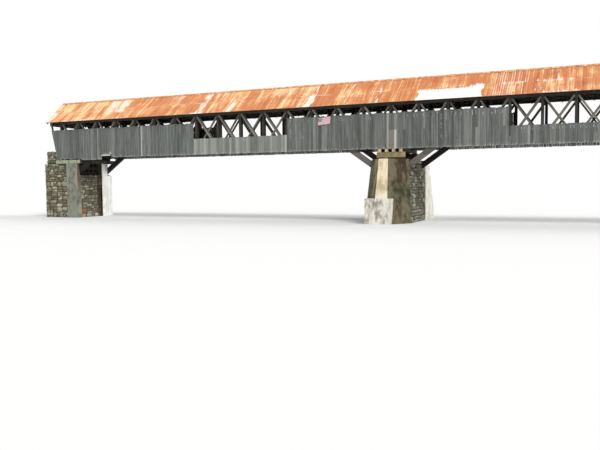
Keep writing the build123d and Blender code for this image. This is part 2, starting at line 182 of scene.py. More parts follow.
# Rubble of the pier's long middle and of both abutments. Round field stones of mixed size and
# colour are laid in broken courses on battered faces, with their lime mortar washed back deep
# between them; moss grows on the shaded ones.
mortar_inset = 0.008
stone_gap = 0.0032
stone_depth = 0.02
stone_lean = 0.009
stacked_share = 0.6
parted_share = 0.6
stone_sink = 0.003
stone_heights = (0.9, 1.12)
joint_heights = (0.6, 1.3)
moss_spread = (0.2, 1.6)
# The pier's stones are darker than the wings', partly as painted shade of the deck over its long sides.
stone_colours = ((122, 120, 106), (84, 83, 72), (150, 145, 132), (70, 69, 61), (180, 176, 160),
                 (96, 87, 70))
# The mortar is dark, partly as painted shade deep in the joints.
mortar_colour = (60, 57, 49)
moss_colour = (84, 92, 52)
tone_shift = (17.3, 9.1, 5.7)
strut_clearance = 0.032
rng = Random(11)
vary = rng.uniform


def linear(rgb):
    """A colour given as it looks on a screen, as the shader wants it."""
    shades = [c / 255 for c in rgb]
    return tuple(c / 12.92 if c <= 0.04045 else ((c + 0.055) / 1.055) ** 2.4 for c in shades) + (1.0,)


def darker(rgb, share):
    """A share of a colour."""
    return [share * c for c in rgb]


def ramp(fac, stops):
    """A colour ramp of (position, screen colour) stops."""
    made = node(fac.tree, "ShaderNodeValToRGB", {"Fac": fac})
    while len(made.color_ramp.elements) < len(stops):
        made.color_ramp.elements.new(0.5)
    for element, (position, rgb) in zip(made.color_ramp.elements, stops):
        element.position = position
        element.color = linear(rgb)
    return Signal(fac.tree, made.outputs["Color"])


def coat(base, cover, colour, blend="MIX"):
    """A colour with another over it, as far as it covers: a signal, a screen colour or a shader's own."""
    if not isinstance(colour, Signal) and len(colour) == 3:
        colour = linear(colour)
    return signal(base.tree, "ShaderNodeMix", {0: cover, 6: base, 7: colour}, 2, data_type="RGBA",
                  blend_type=blend)


def stretched(place, scale):
    """A place with a scale of its own along each axis."""
    return signal(place.tree, "ShaderNodeMapping", {"Vector": place, "Scale": scale})


def noise(place, scale, detail=3.0, spread=(0.3, 0.7)):
    """Noise over a place, stretched by one scale or one for each axis, as a value from 0 to 1."""
    place = stretched(place, scale if isinstance(scale, (tuple, list)) else (scale,) * 3)
    cloud = signal(place.tree, "ShaderNodeTexNoise", {"Vector": place, "Scale": 1.0, "Detail": detail})
    return cloud.fade(*spread)


def attribute(tree, name, part="Fac"):
    """What is kept with the points of a piece."""
    return signal(tree, "ShaderNodeAttribute", None, part, attribute_name=name)


def vector(operation, first, second):
    """Two vectors through a vector node."""
    return signal(first.tree, "ShaderNodeVectorMath", {0: first, 1: second}, operation=operation)


def scaled(value, factor):
    """A vector or a colour times a factor."""
    return signal(factor.tree, "ShaderNodeVectorMath", {0: value, "Scale": factor}, operation="SCALE")


def piece_place(tree):
    """The place on a laid piece, shifted by its tone so that no two pieces share a pattern."""
    grain, tone = attribute(tree, "grain", "Vector"), attribute(tree, "tone")
    return vector("ADD", grain, scaled(tone_shift, tone)), grain, tone


def object_place(tree):
    """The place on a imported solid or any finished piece, in metres."""
    return signal(tree, "ShaderNodeTexCoord", output="Object")


def split(place):
    """The three parts of a place or another vector."""
    parts = node(place.tree, "ShaderNodeSeparateXYZ", {0: place}).outputs
    return [Signal(place.tree, part) for part in parts]


def stone_look(name, colours):
    """Field stone: a tone for each stone, blotches, dark pits and moss where the stone is shaded."""
    look, tree = new_look(name)
    place, _, tone = piece_place(tree)
    base = ramp(tone, [(index / (len(colours) - 1), rgb) for index, rgb in enumerate(colours)])
    base = coat(base, noise(place, 60, 5.0) * 0.4, (74, 70, 60))
    base = coat(base, noise(place, 130, 2.0, (0.55, 0.75)) * 0.3, (176, 170, 150))
    base = coat(base, noise(place, (26, 26, 40), 4.0, (0.42, 0.6)) * attribute(tree, "worn"), moss_colour)
    return surfaced(look, base, 0.92, 0.25, (noise(place, 220, 6.0), 0.7, 0.0016))


def keep(mesh, name, values):
    """Keep a number or a vector with every point of a mesh."""
    values = np.array(values, np.float32)
    kind, field = ("FLOAT", "value") if values.ndim == 1 else ("FLOAT_VECTOR", "vector")
    mesh.attributes.new(name, kind, "POINT").data.foreach_set(field, values.ravel())


def unit_solid(name, points, smooth_corners=True):
    """The convex solid around points in a unit cube, with what the laying tree reads from it.

    A coordinate short of the cube's side is held at a fixed distance from it, as a chamfer is,
    unless the corners are meant to be round ones that grow with the piece.
    """
    shape = bmesh.new()
    for point in points:
        shape.verts.new(point)
    bmesh.ops.convex_hull(shape, input=shape.verts)
    bmesh.ops.recalc_face_normals(shape, faces=shape.faces)
    mesh = bpy.data.meshes.new(name)
    shape.to_mesh(mesh)
    shape.free()
    corners = [list(vertex.co) for vertex in mesh.vertices]
    insets = [(0, 0, 0)] * len(corners)
    if not smooth_corners:
        signs = [[(c > 0) - (c < 0) for c in corner] for corner in corners]
        insets = [[s if abs(c) < 0.45 else 0 for s, c in zip(*pair)] for pair in zip(signs, corners)]
        corners = [[0.5 * s for s in corner] for corner in signs]
    keep(mesh, "corner", corners)
    keep(mesh, "inset", insets)
    return placed(name, mesh)


def laying_tree():
    """Geometry Nodes that set one copy of a unit piece on every guide point."""
    tree = bpy.data.node_groups.new("lay_pieces", "GeometryNodeTree")
    for name, kind in (("Guides", "Geometry"), ("Unit piece", "Object"), ("Finish", "Material"),
                       ("Chamfer", "Float"), ("Unevenness", "Float"), ("Lumps a metre", "Float"),
                       ("Seed", "Float")):
        tree.interface.new_socket(name=name, in_out="INPUT", socket_type=f"NodeSocket{kind}")
    tree.interface.new_socket(name="Pieces", in_out="OUTPUT", socket_type="NodeSocketGeometry")
    given = {socket.name: Signal(tree, socket) for socket in node(tree, "NodeGroupInput").outputs}
    lumps = given["Lumps a metre"]

    def held(name):
        return signal(tree, "GeometryNodeInputNamedAttribute", {"Name": name}, "Attribute",
                      data_type="FLOAT_VECTOR")

    def store(geometry, name, value):
        return signal(tree, "GeometryNodeStoreNamedAttribute",
                      {"Geometry": geometry, "Name": name, "Value": value},
                      data_type="FLOAT_VECTOR", domain="POINT")

    here = signal(tree, "GeometryNodeInputPosition")
    unit = signal(tree, "GeometryNodeObjectInfo", {"Object": given["Unit piece"]}, "Geometry")
    copies = signal(tree, "GeometryNodeInstanceOnPoints",
                    {"Points": store(given["Guides"], "place", here), "Instance": unit})
    solid = signal(tree, "GeometryNodeRealizeInstances", {"Geometry": copies})
    local = vector("MULTIPLY", held("corner"), held("size"))
    solid = store(solid, "grain", vector("SUBTRACT", local, scaled(held("inset"), given["Chamfer"])))
    sample = vector("ADD", scaled(held("grain"), lumps), scaled(held("place"), lumps))
    cloud = signal(tree, "ShaderNodeTexNoise",
                   {"Vector": sample, "W": given["Seed"], "Scale": 1.0, "Detail": 1.0}, "Color",
                   noise_dimensions="4D")
    push = scaled(vector("SUBTRACT", cloud, (0.5, 0.5, 0.5)), given["Unevenness"])
    rotation = signal(tree, "FunctionNodeEulerToRotation", {0: held("turn")})
    turned = signal(tree, "FunctionNodeRotateVector",
                    {"Vector": vector("ADD", held("grain"), push), "Rotation": rotation})
    solid = signal(tree, "GeometryNodeSetPosition",
                   {"Geometry": solid, "Position": vector("ADD", held("place"), turned)})
    solid = signal(tree, "GeometryNodeSetMaterial", {"Geometry": solid, "Material": given["Finish"]})
    node(tree, "NodeGroupOutput", {"Pieces": solid})
    return tree


lay_pieces = laying_tree()


def lay(name, unit, guides, finish, chamfer=0.0, uneven=0.0, lumps=30.0, seed=1.0, smooth=False):
    """Make one plain mesh of pieces; a guide is (place, turn, size, tone, worn)."""
    places, *columns = zip(*guides)
    mesh = bpy.data.meshes.new(name)
    mesh.from_pydata(places, [], [])
    for label, values in zip(("turn", "size", "tone", "worn"), columns):
        keep(mesh, label, values)
    holder = placed(name, mesh)
    laid = holder.modifiers.new("lay", "NODES")
    laid.node_group = lay_pieces
    given = {"Unit piece": unit, "Finish": finish, "Chamfer": chamfer, "Unevenness": uneven,
             "Lumps a metre": lumps, "Seed": seed}
    for socket in lay_pieces.interface.items_tree:
        if socket.name in given:
            laid[socket.identifier] = given[socket.name]
    graph = bpy.context.evaluated_depsgraph_get()
    plain = bpy.data.meshes.new_from_object(holder.evaluated_get(graph), preserve_all_data_layers=True,
                                            depsgraph=graph)
    holder.modifiers.clear()
    holder.data = plain
    plain.name = name
    bpy.data.meshes.remove(mesh)
    for label in ("corner", "inset", "place", "turn", "size"):
        plain.attributes.remove(plain.attributes[label])
    plain.polygons.foreach_set("use_smooth", [smooth] * len(plain.polygons))
    return holder


def show(piece, slot, *nodes):
    """Let a piece ride on the bridge, in place of the solids that it stands for."""
    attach(piece, "root")
    if nodes:
        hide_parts(*nodes)


def shrunk(name, source, inset, finish):
    """A copy of a solid with every face moved inwards."""
    shape = bmesh.new()
    shape.from_mesh(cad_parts[source].data)
    bmesh.ops.remove_doubles(shape, verts=shape.verts, dist=1e-5)
    bmesh.ops.dissolve_limit(shape, angle_limit=0.001, verts=shape.verts, edges=shape.edges)
    shape.normal_update()
    moves = []
    for vertex in shape.verts:
        normals = np.array([list(face.normal) for face in vertex.link_faces])
        move = np.linalg.lstsq(normals, np.full(len(normals), -inset), rcond=1e-3)[0]
        moves.append((vertex, Vector(move)))
    for vertex, move in moves:
        vertex.co += move
    mesh = bpy.data.meshes.new(name)
    shape.to_mesh(mesh)
    shape.free()
    mesh.materials.append(finish)
    return placed(name, mesh)


def rubble(corner, along, up, span, height, sizes, skip, moss, out=(0.0, 0.004)):
    """Guides for stones in broken courses on one flat face, seen from outside with up upwards.

    The span gives the first and last place along the face at a share of its height. Some stones are
    as tall as their course, and the others lie in twos to fours in the height of it.
    """
    along, up = Vector(along).normalized(), Vector(up).normalized()
    outward = along.cross(up)
    facing = Matrix((along, -outward, up)).transposed().to_euler()
    (low_width, high_width), (low_height, high_height) = sizes
    guides = []

    def set_stone(start, end, foot, head):
        at = corner + along * (start + end) / 2 + up * (foot + head) / 2
        if end - start < 0.3 * low_width or skip(at):
            return
        tall = (head - foot) * vary(*stone_heights)
        size = (end - start - stone_gap, stone_depth, tall - stone_gap * vary(*joint_heights))
        turn = (facing.x, facing.y + vary(-stone_lean, stone_lean) / (end - start), facing.z)
        place = at - outward * (stone_depth / 2 + stone_sink - vary(*out))
        guides.append((place, turn, size, rng.random(), moss * vary(*moss_spread)))

    level = 0.0
    while level < height - 0.3 * low_height:
        course = min(vary(low_height, high_height), height - level)
        if height - level - course < 0.6 * low_height:
            course = height - level
        reach, last = span((level + course / 2) / height)
        while reach < last - 0.2 * low_width:
            end = min(reach + vary(low_width, high_width), last)
            if last - end < 0.5 * low_width:
                end = last
            rows = [level, level + course]
            if rng.random() < stacked_share:
                rows.insert(1, level + course * vary(0.36, 0.64))
            for foot, head in pairwise(rows):
                ends = [reach, end]
                if end - reach > 1.3 * low_width and len(rows) > 2 and rng.random() < parted_share:
                    ends.insert(1, reach + (end - reach) * vary(0.34, 0.66))
                for start, stop in pairwise(ends):
                    set_stone(start, stop, foot, head)
            reach = end
        level += course
    return guides


# A block with rounded edges and corners, and a squared piece with chamfered edges.
round_off = (0.0, 1.0, 0.9, 0.74)
stone = unit_solid("unit_stone", [Vector(point) * round_off[sum(c != 0 for c in point)]
                                  for point in product((-0.5, 0, 0.5), repeat=3) if any(point)])
timber = unit_solid("unit_timber", [[side * (0.5 if axis == outer else 0.4)
                                     for axis, side in enumerate(corner)]
                                    for corner in product((-1, 1), repeat=3) for outer in range(3)],
                    smooth_corners=False)
rubble_finish = stone_look("rubble_stone", stone_colours)
mortar_finish = stone_look("lime_mortar", (mortar_colour, mortar_colour))

core_low, core_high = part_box("pier_core")
strut_low, strut_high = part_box("near_struts")
core_top_half = 0.2
core_rise = core_high.z - core_low.z
core_lean = core_high.x - core_top_half
core_slant = hypot(core_rise, core_lean)
pocket_level = (0.565, 0.66)
pier_stones = ((0.06, 0.15), (0.046, 0.078))
near_edge = (core_low.y, -0.308)
far_edge = (0.1996, core_high.y)


def at_strut(place):
    """Where the foot of a strut goes into the pier."""
    beside = abs(abs(place.y) - (strut_low.y + strut_high.y) / -2) < strut_clearance
    return beside and pocket_level[0] < place.z < pocket_level[1]


def pier_span(side):
    """Where the rubble of a long side of the pier starts and ends at a share of its height."""
    def span(share):
        near = near_edge[0] + share * (near_edge[1] - near_edge[0])
        far = far_edge[0] + share * (far_edge[1] - far_edge[0])
        if side > 0:
            return near - core_low.y, far - core_low.y
        return core_high.y - far, core_high.y - near
    return span


def kept_in(piece):
    """Press back what stands out past the ends of the bridge or under its base."""
    for vertex in piece.data.vertices:
        vertex.co.x = min(max(vertex.co.x, cad_low.x), cad_high.x)
        vertex.co.z = max(vertex.co.z, 0.0)


guides = []
for side in (-1, 1):
    corner = Vector((side * core_high.x, core_low.y if side > 0 else core_high.y, 0))
    along = (0, side, 0)
    up = (-side * core_lean, 0, core_rise)
    guides += rubble(corner, along, up, pier_span(side), core_slant, pier_stones, at_strut, 0.5)
pier_rubble = lay("pier_rubble", stone, guides, rubble_finish, uneven=0.012, seed=2, smooth=True)
kept_in(pier_rubble)
show(pier_rubble, "rubble_stone")
pier_mortar = shrunk("pier_mortar", "pier_core", mortar_inset, mortar_finish)
show(pier_mortar, "rubble_stone", "pier_core")

# Abutments. Each is a block of rubble walling round packed fill, stepped down at the river for the
# timber crib, with a low approach wall under the road; the courses are coarser than the pier's.
abutment_stones = ((0.05, 0.12), (0.04, 0.075))
wing_colours = ((138, 134, 112), (104, 100, 82), (182, 176, 152), (88, 86, 72), (216, 210, 190),
                (124, 108, 82))
# The wing mortar is dark, partly as painted shade deep in the joints.
wing_mortar = (82, 78, 61)
river_moss, wing_moss = 0.15, 0.3
wing_out = (-0.003, 0.002)
# On the river side of the abutments, under the deck, the stone is darkened all over as painted shade.
river_painted_shade = (0.88, 0.88, 0.9, 1)
# The brown band beside the far column is a painted shadow.
painted_shadow_brown, iron_stain = (58, 46, 38), (150, 84, 50)
painted_shadow_place, stain_place, stain_level = (0.05, 0.134), (-0.262, -0.196), (0.03, 0.12)
stain_edge = 0.012
column_low, column_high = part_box("left_corner_columns")
slab_low, slab_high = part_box("left_bearing_slab")
crib_low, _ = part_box("left_crib")
mass_low, mass_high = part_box("left_abutment")
mass_half = mass_high.y
approach_half = 0.286
approach_front = -4.54
near_column = (-0.338, -0.296)
far_column = (0.134, 0.245)
coat_back, coat_inner, coat_outer = -4.362, -0.268, 0.337
coat_top = 0.545
column_joint = 0.008


def at_column(place):
    """Where a corner column or the plaster beside it stands in front of the rubble."""
    if place.z > slab_low.z:
        return False
    beside = any(first - column_joint < place.y < last + column_joint
                 for first, last in (near_column, far_column))
    coated = place.z < coat_top and not coat_inner + column_joint < place.y < far_column[0]
    on_front = place.x > column_low.x - column_joint / 2 and (beside or coated)
    return on_front or place.x > coat_back - column_joint and place.y < near_column[1]


def abutment_faces():
    """Guides for the left abutment, whose faces each have a corner, a direction, a width and a height."""
    front, back, ledge = mass_high.x, mass_low.x, crib_low.x
    foot, step, top = 0.0, crib_low.z, slab_low.z
    faces = [
        ((front, -mass_half, foot), (0, 1, 0), 2 * mass_half, step - foot),
        ((ledge, -mass_half, step), (0, 1, 0), 2 * mass_half, top - step),
        ((back, -mass_half, foot), (1, 0, 0), front - back, step - foot),
        ((back, -mass_half, step), (1, 0, 0), ledge - back, top - step),
        ((front, mass_half, foot), (-1, 0, 0), front - back, step - foot),
        ((ledge, mass_half, step), (-1, 0, 0), ledge - back, top - step),
        ((back, mass_half, foot), (0, -1, 0), 2 * mass_half, top - foot),
        ((back, approach_half, top), (0, -1, 0), 2 * approach_half, mass_high.z - top),
        ((back, -approach_half, top), (1, 0, 0), approach_front - back, mass_high.z - top),
        ((approach_front, approach_half, top), (-1, 0, 0), approach_front - back, mass_high.z - top),
    ]
    guides = []
    for corner, along, width, height in faces:
        moss = river_moss if along[1] > 0 else wing_moss
        guides += rubble(Vector(corner), along, (0, 0, 1), lambda share, last=width: (0.0, last), height,
                         abutment_stones, at_column, moss, wing_out)
    return guides


def mirrored_end(guides):
    """The same upright pieces in mirror image at the other end."""
    return [((-x, y, z), (roll, -pitch, -yaw), *rest) for (x, y, z), (roll, pitch, yaw), *rest in guides]


def stained(look, ranges, colour, share, soft, blend="MIX"):
    """Stain a look where the place lies in a range on each given axis; X counts from the middle out."""
    tree = look.node_tree
    skin = next(n for n in tree.nodes if n.type == "BSDF_PRINCIPLED")
    paint = skin.inputs["Base Color"]
    parts = split(object_place(tree))
    inside = share
    for axis, (first, last) in ranges.items():
        along = abs(parts[0]) if axis == 0 else parts[axis]
        inside = along.fade(first - soft, first + soft) * inside
        inside = along.fade(last + soft, last - soft) * inside
    tree.links.new(coat(Signal(tree, paint.links[0].from_socket), inside, colour, blend).socket, paint)
    return look


river_side = (0.0, 4.215)
wing_finish = stone_look("wing_stone", wing_colours)
wing_mortar_finish = stone_look("wing_mortar", (wing_mortar, wing_mortar))
for look in (wing_finish, wing_mortar_finish):
    stained(look, {0: river_side}, river_painted_shade, 1.0, 0.004, "MULTIPLY")
    stained(look, {0: river_side, 1: painted_shadow_place}, painted_shadow_brown, 0.85, stain_edge)
    stained(look, {0: river_side, 1: stain_place, 2: stain_level}, iron_stain, 0.7, stain_edge)
left_faces = abutment_faces()
for end, faces in (("left", left_faces), ("right", mirrored_end(left_faces))):
    stones = lay(f"{end}_rubble", stone, faces, wing_finish, uneven=0.014, lumps=24, seed=3, smooth=True)
    kept_in(stones)
    show(stones, "rubble_stone")
    mortar = shrunk(f"{end}_mortar", f"{end}_abutment", mortar_inset, wing_mortar_finish)
    show(mortar, "rubble_stone", f"{end}_abutment")

# Cast concrete of the pier's nose, downstream end and footing, of the corner columns and of the
# bearing slabs. It was cast against sawn boards, and is chipped, streaked by rust and rain and
# mossy low down; the nose is cream in front, and nearly black on its left and brown on its right,
# partly by stain and partly as painted shade. The white of the downstream end and of the far
# columns is pale concrete with painted sunlight.
cream = ((204, 186, 146), (246, 232, 198))
left_chamfer = ((46, 47, 38), (112, 111, 86))
left_band = ((98, 82, 60), (176, 158, 124))
right_chamfer = ((66, 59, 46), (118, 110, 88))
bleached_cream = (255, 250, 236)
run_brown = (58, 44, 32)
run_middle, run_half = 0.168, 0.03
run_foot = 0.42
wet_green = (42, 50, 32)
green_level, green_start = 0.31, 0.12
# How far a face has to be turned to one side of the nose, and how squarely a face looks along an axis.
turned_aside, squarely = 0.3, 0.7
# Whites of the far columns and of the downstream end: pale concrete with painted sunlight.
white_with_painted_sun = ((234, 232, 224), (255, 255, 252))
dull_white_with_painted_sun = ((216, 212, 198), (248, 245, 234))
slab_grey = ((126, 129, 110), (172, 175, 152))
slab_painted_shade = ((50, 47, 38), (84, 79, 66))
column_grey = ((98, 101, 90), (148, 150, 136))
column_painted_shade = ((58, 52, 42), (92, 82, 66))
rust_run = (98, 62, 48)
footing_white = ((156, 148, 140), (244, 238, 226))
board_mark = 0.016
moss_top = 0.22


def cast(place, shades):
    """Concrete in two shades: clouds, run-down streaks and pits."""
    dark, light = shades
    clouds = noise(place, (9, 9, 6), 4.0, (0.36, 0.64))
    patches = noise(place, (34, 34, 16), 4.0, (0.36, 0.64))
    base = ramp(clouds * 0.55 + patches * 0.45, [(0.12, dark), (0.62, light)])
    base = coat(base, noise(place, (46, 46, 3.5), 3.0, (0.5, 0.72)) * 0.4, darker(dark, 0.7))
    return coat(base, noise(place, 140, 2.0, (0.64, 0.74)) * 0.35, darker(dark, 0.6))


def marked(look, place, base, moss):
    """Finish a look of concrete with board marks, moss near the foot and a rough skin."""
    height = split(place)[2]
    line = (height / board_mark).reckon("FRACT") < 0.07
    base = coat(base, line * 0.18, (60, 56, 48))
    patch = noise(place, (14, 14, 10), 5.0, (0.48, 0.62)) * height.fade(0.0, moss_top, 1.0, 0.15)
    base = coat(base, patch * moss, moss_colour)
    return surfaced(look, base, 0.9, 0.25, (noise(place, 90, 6.0) - line * 0.5, 0.6, 0.002))


def facing(tree):
    """The three parts of the way that a surface faces."""
    return split(signal(tree, "ShaderNodeNewGeometry", output="Normal"))


def concrete_look(name, shades, moss):
    """Concrete that is the same on every side."""
    look, tree = new_look(name)
    place = object_place(tree)
    return marked(look, place, cast(place, shades), moss)


def nose_look():
    """Concrete of the pier's nose, its two chamfers darker than its front partly by stain and partly as
    painted shade.
    """
    look, tree = new_look("nose_concrete")
    place = object_place(tree)
    across = facing(tree)[0]
    x, _, z = split(place)
    x = x + noise(place, (20, 20, 8)) * 0.05
    left = coat(cast(place, left_chamfer), x.fade(-0.11, -0.06), cast(place, left_band))
    front = coat(cast(place, cream), z.fade(0.36, 0.28) * 0.7, bleached_cream)
    base = coat(front, across < -turned_aside, left)
    run = abs(x - run_middle).fade(run_half, 0.4 * run_half) * z.fade(run_foot - 0.06, run_foot + 0.06)
    right = coat(cast(place, right_chamfer), run * 0.75, run_brown)
    green = abs(z - green_level).fade(0.1, 0.03) * noise(place, (8, 8, 9), 4.0, (0.35, 0.5))
    right = coat(right, green * (x > green_start) * 0.85, wet_green)
    return marked(look, place, coat(base, across > turned_aside, right), 0.35)


def slab_look():
    """A bearing slab: grey on its sides, and dark on its face to the river and below as painted shade."""
    look, tree = new_look("slab_concrete")
    place = object_place(tree)
    across, _, up = facing(tree)
    shaded = (abs(across) > squarely) | (up < -squarely)
    return marked(look, place, coat(cast(place, slab_grey), shaded, cast(place, slab_painted_shade)), 0.3)


def column_look():
    """Corner columns: grey near the camera with a rust run; on the far side white as painted sunlight, with
    painted shade on the faces turned to the near side.
    """
    look, tree = new_look("column_concrete")
    place = object_place(tree)
    _, y, z = split(place)
    across, along, _ = facing(tree)
    run = noise(place, (60, 60, 5), 3.0, (0.3, 0.45)) * z.fade(0.3, 0.5) * (abs(across) > squarely)
    grey = coat(cast(place, column_grey), run * 0.8, rust_run)
    # White as painted sunlight, and dark as painted shade where the face turns to the near side.
    bleached = coat(cast(place, white_with_painted_sun), along < -0.5, cast(place, column_painted_shade))
    return marked(look, place, coat(grey, y > 0.0, bleached), 0.25)


def finish(look, *names):
    """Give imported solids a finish."""
    for name in names:
        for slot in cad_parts[name].material_slots:
            slot.material = look


finish(nose_look(), "pier_upstream_nose")
finish(concrete_look("downstream_concrete", dull_white_with_painted_sun, 0.1), "pier_downstream_end")
finish(concrete_look("footing_concrete", footing_white, 0.2), "pier_footing")
finish(slab_look(), "left_bearing_slab", "right_bearing_slab")
column_finish = column_look()
finish(column_finish, "left_corner_columns", "right_corner_columns")

# Plaster. A coat of the same mortar that was drawn from the corner columns over the rubble beside
# them: back along the upstream side, and on the face to the river as high as the struts' feet.
coat_proud = 0.0005
coat_depth = 0.015
coats = []
coat_face, coat_wall = near_column[0] + coat_proud, mass_high.x - mortar_inset
coat_front = column_high.x - coat_proud
for first, last, near, far, top in (
        (coat_back, column_low.x, coat_face, coat_face + coat_depth, slab_low.z),
        (coat_wall, coat_front, near_column[1], coat_inner, coat_top),
        (coat_wall, coat_front, far_column[1], coat_outer, coat_top)):
    middle = ((first + last) / 2, (near + far) / 2, top / 2)
    coats.append((middle, (0, 0, 0), (last - first, far - near, top), 0.5, 0))
for end, pieces in (("left", coats), ("right", mirrored_end(coats))):
    coat_piece = lay(f"{end}_plaster", timber, pieces, column_finish, chamfer=0.002, seed=4)
    show(coat_piece, "dressed_concrete")

# Bridge seats and struts. Squared softwood: cribs and bed timbers black on the abutments, partly with
# age and partly as painted shade, newer pale bolsters and needle beams on the pier, and grey raking
# struts notched into the masonry; the far bolster, the needle beams behind their near ends, the
# abutments' struts and the far struts are painted black as shade.
black_timber = ((30, 28, 26), (64, 60, 54))
# Dark weathered timber, made darker still as painted shade of the space inside and under the bridge.
dark_timber = ((38, 36, 33), (80, 76, 68))
grey_timber = ((84, 81, 74), (142, 137, 125))
strut_grey = ((72, 68, 64), (124, 118, 110))
tan_timber = ((120, 108, 80), (186, 172, 136))
pale_ends = ((164, 146, 112), (220, 208, 178))
reddish_board = (170, 153, 138)
worn_timber = (196, 190, 172)
feet_worn = 0.034
# A cell's length along which its timbers aren't parted by tone.
whole = 50.0


def timber_look(name, shades, axis=None, member=None, pale=worn_timber, feet=False):
    """Rough sawn timber: fibres along it, drying checks, knots, and a tone of its own.

    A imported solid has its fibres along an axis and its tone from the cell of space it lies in.
    Boards with feet are bleached and split for a short way above the level kept for them.
    """
    look, tree = new_look(name)
    if axis is None:
        place, _, tone = piece_place(tree)
        worn = attribute(tree, "worn")
    else:
        place = object_place(tree)
        cell = vector("SNAP", vector("ADD", place, [size / 2 for size in member]), member)
        tone = signal(tree, "ShaderNodeTexWhiteNoise", {"Vector": cell}, "Value")
        worn = 0.0

    def grained(along, across):
        """A scale for each axis: one along the fibres, another across them."""
        return [along if letter == (axis or "X") else across for letter in "XYZ"]

    dark, light = shades
    fibre = noise(place, grained(10.0, 330.0), 4.0, (0.25, 0.75))
    base = ramp(fibre * 0.5 + noise(place, grained(3.0, 48.0)) * 0.5, [(0.1, dark), (0.9, light)])
    check = noise(place, grained(4.0, 150.0), 2.0, (0.66, 0.7))
    base = coat(base, check * 0.6, darker(dark, 0.5))
    knot = stretched(place, grained(11.0, 26.0))
    knot = signal(tree, "ShaderNodeTexVoronoi", {"Vector": knot, "Scale": 1.0}, "Distance")
    base = coat(base, knot.fade(0.13, 0.08) * 0.55, darker(dark, 0.55))
    base = coat(base, worn, pale)
    if feet:
        base = coat(base, worn * -1.0, reddish_board)
        height = split(object_place(tree))[2] - attribute(tree, "foot")
        teeth = noise(place, (3, 90, 90), 2.0, (0.35, 0.65)) * feet_worn
        bare = (height / (teeth | 0.001)).fade(1.0, 0.0)
        base = coat(base, bare * 0.5, pale)
    base = scaled(base, tone.fade(0.0, 1.0, 0.76, 1.2))
    return surfaced(look, base, 0.85, 0.25, (fibre - check, 0.5, 0.0008))


def painted_shade_past(look, axis, past, share=0.85):
    """Paint shade on a look of timber: black past a place along one axis."""
    return stained(look, {"XYZ".index(axis): (past, 100.0)}, black_timber[0], share, 0.002)


# The cribs and bed timbers are black partly with age and partly as painted shade under the deck.
finish(timber_look("crib_timber", black_timber, "Y", (0.02, whole, 0.037)), "left_crib", "right_crib")
finish(timber_look("bed_timber", black_timber, "Y", (0.095, whole, whole)),
       "left_bed_timbers", "right_bed_timbers", "pier_bed_timbers")
# The far bolster, the needle beams behind their near ends, the abutments' struts and the far struts are black
# as painted shade.
bolster_finish = timber_look("bolster_timber", tan_timber, "X", (whole, 0.3, whole))
finish(painted_shade_past(bolster_finish, "Y", 0.0), "pier_bolsters")
needle_finish = timber_look("needle_timber", pale_ends, "Y", (0.076, whole, whole))
finish(painted_shade_past(needle_finish, "Y", -0.28), "pier_needle_beams")
finish(timber_look("corbel_timber", grey_timber, "X", (whole, 0.3, whole)), "pier_corbels")
strut_finish = timber_look("strut_timber", strut_grey, "X", (whole, 0.3, whole))
finish(painted_shade_past(strut_finish, "X", 2.0, 0.95), "near_struts")
finish(timber_look("far_strut_timber", black_timber, "X", (whole, 0.3, whole)), "far_struts")

# Trusses. Chords of two leaves and necked posts stand as they are packed; each panel has a pair of
# main braces and one counter brace between them, and bolts with washers at the joints.
panel = 0.298
span_panels = 15
post_width = 0.026
brace_depth = 0.02
counter_depth = 0.018
leaf = 0.014
counter_width = 0.02
timber_chamfer = 0.0012
half_chord_foot = 0.0175
half_chord_top = 0.015
brace_grey = ((78, 76, 70), (140, 137, 127))
truss_low, truss_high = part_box("near_braces")
truss_middle = (truss_high.y - truss_low.y) / 2
truss_place = (truss_high.y + truss_low.y) / 2


def brace(left, right, falls_right, y, width, depth):
    """Guide for a bar from corner to corner of a panel."""
    low, high = truss_low.z, truss_high.z
    run, rise = right - left, high - low
    length = hypot(run, rise)
    slope = atan2(rise - depth / 2 * length / run, run - depth / 2 * length / rise)
    angle = slope if falls_right else -slope
    middle = ((left + right) / 2, y, (low + high) / 2)
    size = (length - 0.4 * depth, width, depth)
    return middle, (0, angle, 0), size, rng.random(), vary(0, 0.25)


def panel_timbers(side):
    """All braces of one truss."""
    guides = []
    for index in range(2 * span_panels):
        left = (index - span_panels) * panel + post_width / 2
        right = left + panel - post_width
        falls_right = index % span_panels >= span_panels // 2
        for offset in (-truss_middle + leaf / 2, truss_middle - leaf / 2):
            y = side * -truss_place + offset
            guides.append(brace(left, right, falls_right, y, leaf, brace_depth))
        y = side * -truss_place
        guides.append(brace(left, right, not falls_right, y, counter_width, counter_depth))
    return guides


def turned_points(sides, profile):
    """Points in rings round Y, one for each (radius, level) of a profile."""
    turns = [2 * pi * step / sides for step in range(sides)]
    return [(reach * cos(turn), level, reach * sin(turn)) for reach, level in profile for turn in turns]


def iron_look():
    """Iron that has rusted all over."""
    look, tree = new_look("rusty_iron")
    rust = ramp(noise(object_place(tree), 300), [(0, (48, 36, 30)), (1, (112, 70, 46))])
    return surfaced(look, rust, 0.7, others={"Metallic": 0.3})


